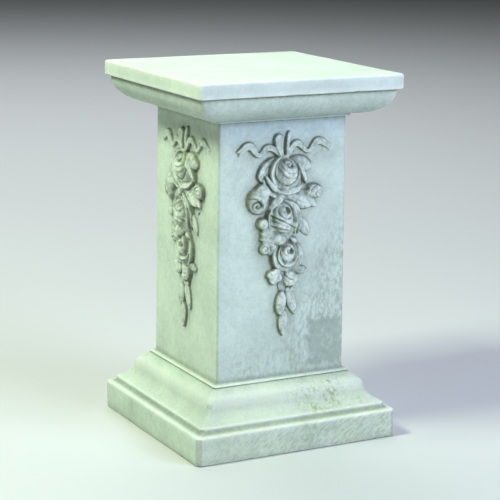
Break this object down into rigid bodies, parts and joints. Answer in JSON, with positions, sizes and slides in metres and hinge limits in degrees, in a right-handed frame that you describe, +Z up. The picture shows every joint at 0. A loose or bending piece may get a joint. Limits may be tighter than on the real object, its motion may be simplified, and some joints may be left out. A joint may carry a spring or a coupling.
{
  "type": "square pedestal",
  "caption": "Square cast-stone garden pedestal: slab cap on an ovolo, plain die with a hanging drop of roses and ribbon bow on each face, ogee base on a plinth.",
  "frame": {"origin": "middle of the underside, where the plinth stands on the ground", "axes": "+Z up along the pedestal's axis, -Y out of the front face"},
  "size_m": [0.368, 0.368, 0.61],
  "materials": {
    "cast_stone": "matte, limewashed, with a dark wash left in the hollows of the carving and mouldings"
  },
  "bodies": {
    "root": {"pedestal": "cast_stone"}
  },
  "joints": []
}
